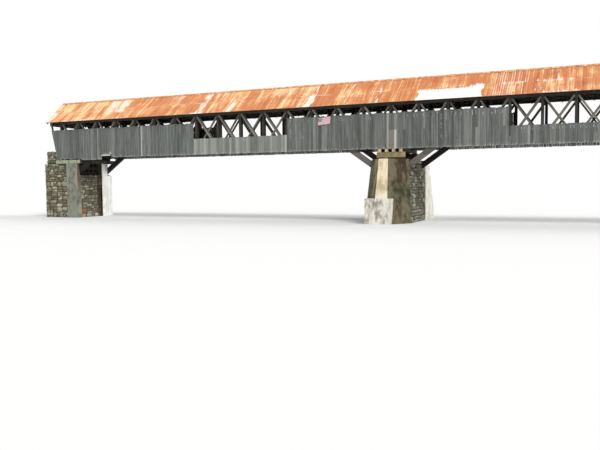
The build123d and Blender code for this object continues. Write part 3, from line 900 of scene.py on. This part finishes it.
# A washer with a domed head on it, standing along Y.
bolt = unit_solid("unit_bolt", turned_points(8, ((0.5, -0.5), (0.5, -0.2), (0.3, 0.5))))
brace_finish = timber_look("brace_timber", brace_grey)
iron_finish = iron_look()
washer = 0.009
bolt_height = 0.003
bolt_shift = 0.008
sides = ((-1, "near"), (1, "far"))
for side, label in sides:
    braces = lay(f"{label}_brace_timbers", timber, panel_timbers(side), brace_finish,
                 chamfer=timber_chamfer, uneven=0.0006, lumps=40, seed=5)
    show(braces, "grey_timber", f"{label}_braces")
    heads = []
    for index in range(2 * span_panels + 1):
        x = (index - span_panels) * panel
        for level in (truss_low.z - half_chord_foot, truss_high.z + half_chord_top):
            for shift, face in product((-bolt_shift, bolt_shift), (-1, 1)):
                y = side * -truss_place + face * (truss_middle + bolt_height / 2)
                turn = (0, 0, 0 if face > 0 else pi)
                size = (washer, bolt_height, washer)
                heads.append(((x + shift, y, level + shift / 2), turn, size, 0.5, 0))
    show(lay(f"{label}_truss_bolts", bolt, heads, iron_finish), "old_timber")
for name, axis, member, *nodes in (
        ("chord", "X", (0.9, 0.1, 0.2),
         "near_bottom_chord", "far_bottom_chord", "near_top_chord", "far_top_chord"),
        ("post", "Z", (panel, 0.3, whole), "near_posts", "far_posts"),
        ("knee", "Y", (panel, 0.3, whole), "knee_braces"),
        ("lateral", "Y", (0.05, 0.3, whole), "lower_laterals", "upper_laterals"),
        ("tie", "Y", (panel, whole, whole), "tie_beams"),
        ("beam", "Y", (0.05, whole, whole), "floor_beams"),
        ("plate", "X", (0.6, 0.3, whole), "wall_plates"),
        ("rafter", "Y", (0.03, whole, whole), "near_rafters", "far_rafters")):
    finish(timber_look(f"{name}_timber", dark_timber, axis, member), *nodes)
finish(timber_look("girt_timber", brace_grey, "X", (0.5, 0.3, 0.05)), "near_girts", "far_girts")
finish(timber_look("portal_timber", grey_timber, "Z", (whole, 0.3, whole)),
       "left_portal_posts", "right_portal_posts")

# Floor. Sawn planks laid across the road on the floor beams, each worn paler by a chance amount.
plank_width = (0.019, 0.026)
plank_gap = 0.0012
plank_shades = ((74, 70, 62), (138, 130, 114))
deck_low, deck_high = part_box("deck_planks")


def planks():
    """Guides for the planks from end to end."""
    guides = []
    x = deck_low.x
    while x < deck_high.x - plank_width[0] / 2:
        width = min(vary(*plank_width), deck_high.x - x)
        size = (deck_high.y - deck_low.y - vary(0, 0.006), width - plank_gap,
                deck_high.z - deck_low.z - vary(0, 0.0008))
        middle = (x + width / 2, vary(-0.002, 0.002), deck_low.z + size[2] / 2)
        guides.append((middle, (0, 0, pi / 2), size, rng.random(), vary(0, 0.3)))
        x += width
    return guides


plank_finish = timber_look("plank_timber", plank_shades)
floor_planks = lay("floor_planks", timber, planks(), plank_finish, chamfer=0.0008, uneven=0.0006, seed=7)
show(floor_planks, "old_timber", "deck_planks")

# Roof. Rough boards on the rafters, and on them two courses of ribbed steel sheets, nailed through
# their ribs. Most sheets have rusted orange, a few renewed ones are still pale, and the upper
# course laps over the lower one half way up.
roof_low, roof_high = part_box("near_roof")
eave = roof_low.y
eave_end = 4.665
ridge_end = roof_high.x
slope_length = 0.4682
rib_height = 0.0018
sheet_iron = 0.0006
sheet_cover = 0.066
ribs_a_sheet = 3
rib_half = 0.0035
sheet_lap = 0.007
side_lap = 0.002
lap_thickness = 0.9 * sheet_iron
lap_share = 0.47
roof_board_depth = 0.0042
roof_board_width = 0.026
roof_board_drop = 0.0067
eave_level = 1.248
roof_rise = roof_high.z - eave_level
roof_angle = atan2(roof_rise, -eave)
salmon = ((178, 102, 62), (206, 130, 86), (218, 144, 98), (238, 186, 134), (252, 224, 178))
galvanised = (252, 249, 242)
# Places of the near slope where zinc is left or the rust is thin: first and last place along it,
# first and last share of the slope, and how much is left.
pale_places = (
    (-4.70, -4.58, 0.0, 0.6, 0.78), (-4.39, -3.98, 0.0, 0.06, 0.8), (-3.78, -3.64, 0.28, 0.95, 0.76),
    (-3.61, -3.49, 0.25, 1.0, 0.8),
    (-2.76, -2.69, 0.4, 1.0, 0.42), (-2.43, -2.24, 0.0, 0.09, 0.95), (-2.37, -2.27, 0.09, 0.9, 0.74),
    (-1.93, -1.87, 0.0, 0.42, 0.9), (-1.92, -1.86, 0.42, 0.85, 0.46), (-1.44, -1.16, 0.5, 1.0, 0.36),
    (-0.96, -0.87, 0.0, 0.5, 0.85), (-0.93, -0.88, 0.5, 1.0, 0.6), (-0.50, -0.475, 0.0, 1.0, 0.55),
    (-0.43, -0.40, 0.0, 1.0, 0.4), (-0.155, -0.13, 0.0, 1.0, 0.6), (-0.09, -0.07, 0.0, 1.0, 0.45),
    (0.285, 0.93, 0.0, 0.43, 1.15), (0.5, 0.86, 0.43, 0.47, 0.8), (0.80, 0.93, 0.43, 0.56, 0.9),
    (1.06, 1.32, 0.44, 0.52, 0.72), (1.49, 1.76, 0.45, 0.49, 0.78),
    (1.50, 1.82, 0.0, 0.05, 0.78), (1.60, 1.63, 0.47, 1.0, 0.6), (1.40, 1.47, 0.1, 0.47, 0.42),
)
# Stretches of the near slope by how far the rust has gone: first and last place, and how much paler.
rust_stretches = ((-4.8, -3.44, 0.17), (-3.44, -3.05, 0.1), (-3.1, -2.75, 0.04), (-2.8, -2.5, 0.1),
                  (-2.3, -1.85, 0.15), (-1.85, -1.5, 0.09), (-1.5, -0.9, 0.13), (-0.65, -0.4, 0.07),
                  (1.38, 4.8, 0.1), (4.2, 4.8, 0.18))
stretch_blend = 0.06
# First and last place along the roof where the crests of some ribs are pale.
pale_crest_reach = (1.03, 1.36)
cap_length = 0.244
nail_size = (0.0036, 0.0012, 0.0036)
nail_sink = 0.0002


def closed_sheet(name, columns, rows, point):
    """A closed thin sheet of two layers of points, each given by its column, its row and its layer."""
    layer = range(columns * rows)
    block = len(layer)
    points = [point(index % columns, index // columns, side) for side in (0, 1) for index in layer]
    faces = []
    for first in (index for index in layer[:-columns] if index % columns < columns - 1):
        below = first + columns
        faces.append((first, first + 1, below + 1, below))
        faces.append((block + first, block + below, block + below + 1, block + first + 1))
    rim = [*layer[:columns], *layer[2 * columns - 1::columns]]
    rim += [*layer[-2:-columns - 1:-1], *layer[-2 * columns:0:-columns]]
    faces += [(second, first, block + first, block + second) for first, second in zip(rim, rim[1:] + rim[:1])]
    mesh = bpy.data.meshes.new(name)
    mesh.from_pydata(points, [], faces)
    return placed(name, mesh)


def unit_sheet():
    """A sheet with raised ribs on a flat ground, one iron's thickness deep."""
    share = rib_half / sheet_cover
    columns = [(0.0, 1.0), (share, 0.0)]
    for rib in range(1, ribs_a_sheet):
        middle = rib / ribs_a_sheet
        columns += [(middle - share, 0.0), (middle, 1.0), (middle + share, 0.0)]
    columns += [(1 - share, 0.0), (1.0, 1.0)]
    made = closed_sheet("unit_sheet", len(columns), 5,
                        lambda column, row, _: (columns[column][0] - 0.5, row / 4 - 0.5, columns[column][1]))
    corners = [list(vertex.co) for vertex in made.data.vertices]
    keep(made.data, "corner", corners)
    keep(made.data, "inset", [(0, 0, 2 * index // len(corners)) for index in range(len(corners))])
    return made


def on_roof(side, x, up, drop):
    """The point a share of the way up a slope, a plumb drop below its face."""
    return x, -side * eave * (1 - up), eave_level + up * roof_rise - drop


def sheets(side):
    """Guides for both courses of one slope, the lower one dropped to lie under the upper, and their nails."""
    guides, nails = [], []
    count = ceil(2 * ridge_end / sheet_cover)
    cover = 2 * ridge_end / count
    for drop, foot, head in ((2 * lap_thickness, 0.0, lap_share + sheet_lap / slope_length),
                             (lap_thickness, lap_share, 1.0)):
        for index in range(count):
            x = -ridge_end + (index + 0.5) * cover
            middle = on_roof(side, x, (foot + head) / 2, rib_height + drop)
            size = (cover + side_lap, (head - foot) * slope_length, rib_height)
            turn = (-side * roof_angle, 0, vary(-0.004, 0.004))
            guides.append((middle, turn, size, rng.random(), 0.0))
            nail_rows = (foot + 0.02, (foot + head) / 2, head - 0.03)
            for up, rib in product(nail_rows, range(1, ribs_a_sheet + 1)):
                across = x + (rib / ribs_a_sheet - 0.5) * cover
                if abs(across) < eave_end - 0.005:
                    place = on_roof(side, across, up + vary(-0.004, 0.004), nail_sink)
                    nails.append((place, (pi / 2 - side * roof_angle, 0, 0), nail_size, 0.5, 0))
    return guides, nails


def zinc_left(x, up):
    """How much zinc is left at a place on the near slope, from 0 to 1."""
    wander = 0.012 * sin(37 * up + 5 * x)
    reach = 0.006 * sin(43 * x) + 0.006 * sin(91 * x)
    left = 0.0
    for first, last, low, high, share in pale_places:
        if first < x + wander < last and (low == 0 or low < up + reach) and up + reach < high:
            left = max(left, share)
    return left


def rust_thinness(x, up):
    """How much paler than the darkest rust a stretch of the near slope is."""
    place = x + 0.015 * sin(29 * up + 9 * x)
    return max(pale * min(max(min(place - first, last - place) / stretch_blend, 0.0), 1.0)
               for first, last, pale in rust_stretches)


def roof_boards(side):
    """Guides for the boards under the sheets, laid along the roof in broken lengths."""
    guides = []
    rows = round(slope_length / roof_board_width)
    for row in range(rows):
        x = -ridge_end - vary(0, 0.3)
        while x < ridge_end:
            length = vary(0.3, 0.5)
            end = min(x + length, ridge_end)
            start = max(x, -ridge_end)
            x += length
            if end - start < 0.02:
                continue
            place = on_roof(side, (start + end) / 2, (row + 0.5) / rows, roof_board_drop)
            size = (end - start - 0.001, slope_length / rows - 0.0008, roof_board_depth)
            guides.append((place, (-side * roof_angle, 0, 0), size, rng.random(), 0))
    return guides


def cut_to_rake(piece):
    """Cut the ends of the roof's pieces to the slight rake of the gables."""
    for vertex in piece.data.vertices:
        place = vertex.co
        up = 1 - min(abs(place.y), -eave) / -eave
        limit = eave_end + (ridge_end - eave_end) * up
        if abs(place.x) > limit:
            place.x = copysign(limit, place.x)


def sheet_look():
    """Rusted sheet: fine streaks down the slope, tan where the rust is thin, zinc where it is left."""
    look, tree = new_look("rusty_sheet")
    place, local, tone = piece_place(tree)
    zinc, thin, _ = split(attribute(tree, "zinc", "Vector"))
    u, v, _ = split(local)
    here = object_place(tree)
    x = split(here)[0]
    pitch = sheet_cover / ribs_a_sheet
    rib = ((x + ridge_end) / pitch + 0.5).reckon("FLOOR")
    by_rib = signal(tree, "ShaderNodeTexWhiteNoise", {"W": rib + tone * 90.0}, "Value", noise_dimensions="1D")
    fine = noise(here, (130, 5, 5), 4.0, (0.28, 0.72))
    broad = noise(here, (22, 2.5, 2.5))
    clouds = noise(here, (3, 7, 7), 4.0)
    mottle = noise(place, (60, 40, 40), 4.0)
    paleness = thin * (noise(here, (17, 2.5, 2.5), 4.0, (0.34, 0.66)) * 1.8 + 0.1)
    for part, share in ((fine, 0.17), (broad, 0.28), (clouds, 0.2), (mottle, 0.12), (by_rib, 0.07),
                        (tone, 0.1)):
        paleness = paleness + part * share
    from_crest = abs(((u + sheet_cover / 2) / pitch + 0.5).reckon("FRACT") - 0.5)
    crest = from_crest.fade(0.22, 0.08)
    # The crests of some ribs are a little paler, as a painted highlight.
    paleness = paleness + crest * (by_rib > 0.6) * 0.13
    base = ramp(paleness, list(zip((0.2, 0.38, 0.55, 0.68, 0.84), salmon)))
    spots = noise(place, (150, 60, 60), 3.0, (0.6, 0.68))
    base = coat(base, spots * 0.3, (140, 74, 50))
    pale_crests = (x > pale_crest_reach[0]) * (x < pale_crest_reach[1]) * crest * (by_rib > 0.35)
    pale_crests = pale_crests * noise(place, (40, 7, 7), 3.0, (0.3, 0.5))
    left = (zinc + noise(here, (64, 9, 9), 4.0, (0.28, 0.72))).fade(0.95, 1.3)
    foot = v.fade(-0.106, -0.111, 0.0, 0.6) * noise(here, (7, 1, 1), 3.0, (0.45, 0.65))
    thin_zinc = ramp(mottle, [(0, (236, 196, 160)), (0.4, (244, 222, 202)), (1, (250, 240, 230))])
    base = coat(base, pale_crests | left | foot, coat(thin_zinc, zinc.fade(0.7, 1.0), galvanised))
    return surfaced(look, base, 0.75, 0.15, (clouds + spots * 0.5, 0.3, 0.0008))


def cap_look():
    """Rusted ridge sheet, with a dark line where each length laps over the next."""
    look, tree = new_look("ridge_sheet")
    place = object_place(tree)
    base = ramp(noise(place, (30, 40, 40), 4.0), list(zip((0, 0.4, 0.8, 1), (salmon[0], *salmon[2:]))))
    lap = (split(place)[0] / cap_length).reckon("FRACT") < 0.012
    return surfaced(look, coat(base, lap, (92, 54, 38)), 0.75, 0.15)


sheet = unit_sheet()
# A low domed head that stands along Y.
nail = unit_solid("unit_nail", [*turned_points(5, ((0.5, -0.5), (0.4, 0.2))), (0, 0.5, 0)])
sheet_finish = sheet_look()
roof_board_finish = timber_look("roof_board", dark_timber)
for side, label in sides:
    guides, nails = sheets(side)
    iron = lay(f"{label}_roof_sheets", sheet, guides, sheet_finish,
               chamfer=sheet_iron, uneven=0.0007, lumps=22, seed=9)
    cut_to_rake(iron)
    places = [(vertex.co.x, 1 - vertex.co.y / eave) for vertex in iron.data.vertices]
    keep(iron.data, "zinc", [(zinc_left(*place), rust_thinness(*place), 0) if side < 0 else (0, 0, 0)
                             for place in places])
    show(iron, "roof_sheet", f"{label}_roof")
    show(lay(f"{label}_roof_nails", nail, nails, iron_finish), "roof_sheet")
    under = lay(f"{label}_roof_boards", timber, roof_boards(side), roof_board_finish,
                chamfer=0.0006, uneven=0.0004, lumps=20, seed=10)
    cut_to_rake(under)
    show(under, "old_timber")
finish(cap_look(), "ridge_cap")

# Side walls. Upright boards of mixed width and age, nailed to the girts, most of them one length
# from the chords' feet to the eaves. Under the wide openings they stop at the sill, a few have been
# pieced or sawn short, and both ends lean out with the portals.
wall_low, wall_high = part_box("near_lower_siding")
_, upper_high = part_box("near_upper_siding_left")
_, middle_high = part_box("near_upper_siding_middle")
wall_face = wall_low.y
board_depth = 0.0034
board_chamfer = 0.0005
board_width = (0.019, 0.033)
board_gap = (0.0004, 0.0022)
seam_gap = 0.0035
pieced_share = 0.06
wall_foot, sill, wall_top = wall_low.z, wall_high.z, upper_high.z
wall_end = 4.53
end_rake = 0.23
window_far, window_near = upper_high.x, middle_high.x
board_grey = ((74, 77, 75), (126, 130, 126))
board_pale = (196, 198, 190)
girt_rises = (0.053, 0.179, 0.265, 0.363)
board_nail = (0.0018, 0.0009, 0.0018)
nail_shares = (-0.28, 0.28)
# Boards of another colour on the near wall, by foot and top: first and last place, and paleness;
# under 0 the board is a reddish one.
mended_top = 0.965
stub_top = 0.84
odd_boards = [(first, last, foot, top, worn) for foot, top, boards in (
    (wall_foot, wall_top, ((-3.176, -3.156, 0.95), (-3.862, -3.838, 0.2), (-0.036, -0.012, 0.6))),
    (wall_foot, stub_top, ((-3.665, -3.638, 0.7), (-0.76, -0.735, 0.4))),
    (wall_foot, sill, ((-2.395, -2.37, 0.6), (-1.995, -1.97, 0.42), (-1.92, -1.895, 0.42),
                       (-1.39, -1.365, 0.42), (-1.342, -1.318, 0.42), (-1.215, -1.185, 0.55),
                       (0.87, 0.895, 0.28), (1.36, 1.385, 0.28))),
    (wall_foot, mended_top, ((-0.012, 0.018, -0.3), (0.018, 0.045, -0.5), (0.045, 0.07, 0.8))),
    (mended_top, wall_top, ((0.045, 0.07, 0.26), (0.142, 0.162, 0.24), (0.35, 0.372, 0.3))),
    (sill, wall_top, ((1.128, 1.158, 0.42),))) for first, last, worn in boards]
# Seams that have opened between boards.
open_seams = (-3.71, -0.77, -0.27, -0.19, 0.43, 0.50, 0.98, 1.06)
board_edges = sorted({edge for board in odd_boards for edge in board[:2]} | set(open_seams))
# Where boards have been sawn short at their feet, with an old strip of wood behind them.
sawn_short = (-3.80, -3.645)
sawn_rise = 0.038
strip_place = (sum(sawn_short) / 2 - 0.012, wall_face + 0.0052, wall_foot + 0.033)
strip_size = (0.15, 0.003, 0.022)
# How far the boards beyond them hang below the others; over the bearing slab it is half of that.
long_foot = 0.024
# Both walls' feet are ragged at the left end, and there the near wall's boards are darker as painted shade.
ragged_reach = -4.1
shade_reach, painted_shade_tone = -3.85, 0.2


def board_end(x, width):
    """Where a board that starts at a place ends: at an odd board or open seam, if one comes first."""
    for edge in board_edges:
        if x + 0.003 < edge < x + width + 0.008:
            return edge
    return x + width


def board_worth(x, level):
    """How pale a board of the near wall is at a place."""
    for first, last, foot, top, worn in odd_boards:
        if first < x < last and foot < level < top:
            return worn
    if window_far < x < -window_near and level < sill:
        return vary(0.17, 0.46)
    return 0.18 * rng.random() ** 3


def foot_level(x, side):
    """The level of the boards' feet at a place along a wall."""
    if side > 0 or x > sawn_short[1]:
        return wall_foot
    if x > sawn_short[0]:
        return wall_foot + sawn_rise
    return wall_foot - (long_foot if x > slab_high.x else long_foot / 2)


def board_pieces(side, middle, foot, head):
    """Foot and head of each length that a board is pieced out of."""
    cuts = [foot, head]
    if rng.random() < pieced_share:
        cuts.append(vary(foot + 0.08, head - 0.06))
    for first, last, low, high, _ in odd_boards:
        if side < 0 and first < middle < last:
            cuts += [level for level in (low, high) if foot + 0.02 < level < head - 0.02]
    return pairwise(sorted(set(cuts)))


def side_boards(side):
    """Guides for the boards of one wall, and for two nails where a board crosses a girt."""
    guides, nails = [], []
    reach = wall_end + end_rake * (wall_top - wall_foot)
    x = -reach
    while x < reach:
        end = board_end(x, vary(*board_width))
        width = end - x
        middle = x + width / 2
        gap = vary(*board_gap) + (seam_gap if end in open_seams else 0)
        x = end
        in_window = window_near < abs(middle) < -window_far
        foot = foot_level(middle, side) + vary(0, 0.012 if middle < ragged_reach else 0.004)
        if side < 0 and sawn_short[0] < middle < sawn_short[1]:
            foot = foot_level(middle, side) + vary(-0.003, 0.003)
        if in_window:
            head = sill + vary(-0.002, 0.002)
        else:
            head = wall_top - vary(0, 0.007) - (0.01 if rng.random() < 0.12 else 0)
        for low, high in board_pieces(side, middle, foot, head):
            size = (high - low - 0.0008, board_depth, width - gap)
            y = side * (-wall_face - board_depth / 2 + vary(-0.0006, 0.0009))
            worn = board_worth(middle, (low + high) / 2) if side < 0 else 0.25 * rng.random() ** 2
            sway = vary(-0.0025, 0.0025)
            tone = rng.random() - (painted_shade_tone if side < 0 and middle < shade_reach else 0)
            guides.append(((middle, y, (low + high) / 2), (0, -pi / 2 + sway, 0), size, tone, worn))
        for rise in girt_rises:
            level = wall_foot + rise
            in_board = foot < level < head and abs(middle) < wall_end + end_rake * rise - 0.01
            for share in nail_shares if in_board else ():
                place = (middle + share * width, side * (-wall_face + board_nail[1]),
                         level + vary(-0.003, 0.003))
                nails.append((place, (0, 0, 0 if side > 0 else pi), board_nail, 0.5, 0))
    if side < 0:
        guides.append((strip_place, (0, 0, 0), strip_size, 0.9, 0.95))
    return guides, nails


def cut_to_portal(piece):
    """Cut the boards at both ends of the walls to the portals' lean."""
    for vertex in piece.data.vertices:
        place = vertex.co
        reach = abs(place.x)
        if reach > wall_end + end_rake * (place.z - wall_foot):
            if reach < wall_end + end_rake * (wall_top - wall_foot) and place.z < sill:
                place.z = wall_foot + max(0.0, (reach - wall_end) / end_rake)
            else:
                place.x = copysign(wall_end + end_rake * (place.z - wall_foot), place.x)


board_finish = timber_look("weathered_board", board_grey, pale=board_pale, feet=True)
for side, label in sides:
    guides, nails = side_boards(side)
    boards = lay(f"{label}_side_boards", timber, guides, board_finish,
                 chamfer=board_chamfer, uneven=0.0012, lumps=14, seed=12)
    cut_to_portal(boards)
    keep(boards.data, "foot", [foot_level(vertex.co.x, side) for vertex in boards.data.vertices])
    show(boards, "weathered_boards", f"{label}_lower_siding",
         *(f"{label}_upper_siding_{part}" for part in ("left", "middle", "right")))
    show(lay(f"{label}_nails", nail, nails, iron_finish), "weathered_boards")

# Gables. Upright boards over both portals, nailed to the end tie and the end rafters and cut under
# the roof's slope; they are as grey as the side walls.
gable_low, gable_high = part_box("right_gable")
roof_slope = roof_rise / -eave


def gable_boards(end):
    """Guides for the boards of the gable at one end, and for their nails."""
    guides, nails = [], []
    y = gable_low.y
    face = end * (gable_high.x - 0.0001)
    turn = (0, -pi / 2, end * pi / 2)
    while y < gable_high.y:
        width = min(vary(*board_width), gable_high.y - y)
        middle = y + width / 2
        y += width
        if width < 0.006:
            continue
        foot = gable_low.z + vary(0, 0.003)
        head = gable_high.z - min(abs(middle - width / 2), abs(middle + width / 2)) * roof_slope
        size = (head - foot, board_depth, width - vary(*board_gap))
        place = (face - end * (board_depth / 2 + vary(0, 0.0004)), middle, (foot + head) / 2)
        guides.append((place, turn, size, rng.random(), 0.25 * rng.random() ** 2))
        for level in (gable_low.z + 0.065, gable_high.z - abs(middle) * roof_slope - 0.012):
            for share in nail_shares:
                spot = (face - end * nail_sink, middle + share * width, level)
                nails.append((spot, (0, 0, -end * pi / 2), board_nail, 0.5, 0))
    return guides, nails


def cut_to_slope(piece):
    """Cut the heads of the gable's boards to the slope of the roof."""
    for vertex in piece.data.vertices:
        vertex.co.z = min(vertex.co.z, gable_high.z - abs(vertex.co.y) * roof_slope)


for end, label in ((-1, "left"), (1, "right")):
    guides, nails = gable_boards(end)
    boards = lay(f"{label}_gable_boards", timber, guides, board_finish, chamfer=board_chamfer, seed=13)
    cut_to_slope(boards)
    show(boards, "weathered_boards", f"{label}_gable")
    show(lay(f"{label}_gable_nails", nail, nails, iron_finish), "weathered_boards")

# Flag. A faded striped cloth that is nailed by its top edge over the boards of the near wall and
# hangs a little loose; it has a dull blue corner, and its lowest stripe is dark red on its left part.
flag_low, flag_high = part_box("flag")
flag_columns, flag_rows = 28, 20
flag_thickness = 0.0004
flag_stripes = 9
flag_red, flag_white = (206, 160, 168), (228, 206, 206)
flag_blue, flag_low_red = (134, 132, 152), (124, 60, 72)
flag_corner = (0.36, 0.56)
flag_width = flag_high.x - flag_low.x
flag_height = flag_high.z - flag_low.z


def flag_point(across, down, layer):
    """A point of the cloth by its shares across and down: loose ripples that grow downwards."""
    ripple = 0.0016 * down * (sin(15 * across + 2.2 * down) + 0.5 * sin(31 * across - 3 * down))
    sag = 0.004 * sin(pi * across) * (1 - down)
    drop = down * (flag_height - 0.013 - 0.008 * across) + sag
    rise = 0.012 * (1 - across)
    x = flag_low.x + across * flag_width + 0.0012 * sin(6 * down)
    y = flag_low.y - 0.0012 - 0.0022 * down + ripple - layer * flag_thickness
    return x, y, flag_high.z - 0.001 - rise - drop


def flag_cloth():
    """The cloth as a closed thin sheet, with its shares across and down kept for its look."""
    shares = []

    def point(column, row, layer):
        shares.append((column / flag_columns, row / flag_rows, 0.0))
        return flag_point(*shares[-1][:2], layer)

    made = closed_sheet("flag_cloth", flag_columns + 1, flag_rows + 1, point)
    keep(made.data, "share", shares)
    made.data.polygons.foreach_set("use_smooth", [True] * len(made.data.polygons))
    return made


def flag_look():
    """Sun-bleached cotton: stripes, a blue corner, a dark lowest stripe and a plain weave."""
    look, tree = new_look("faded_cotton")
    share = attribute(tree, "share", "Vector")
    across, down, _ = split(share)
    stripe = (down * (flag_stripes / 2)).reckon("FRACT") < 0.5
    base = ramp(stripe, [(0, flag_white), (1, flag_red)])
    base = coat(base, (across < flag_corner[0]) * (down < flag_corner[1]), flag_blue)
    base = coat(base, (down > 1 - 1 / flag_stripes) * (across < 0.48) * 0.8, flag_low_red)
    base = coat(base, noise(object_place(tree), (30, 30, 22), 4.0) * 0.55, (218, 186, 190))
    threads = stretched(share, (190, 130, 1))
    weave = signal(tree, "ShaderNodeTexChecker", {"Vector": threads, "Scale": 1.0}, "Fac")
    return surfaced(look, base, 0.95, 0.15, (weave, 0.4, 0.0002), {"Sheen Weight": 0.2})


flag = flag_cloth()
flag.data.materials.append(flag_look())
show(flag, "flag_cloth", "flag")

for unit in (stone, timber, bolt, nail, sheet):
    bpy.data.objects.remove(unit)
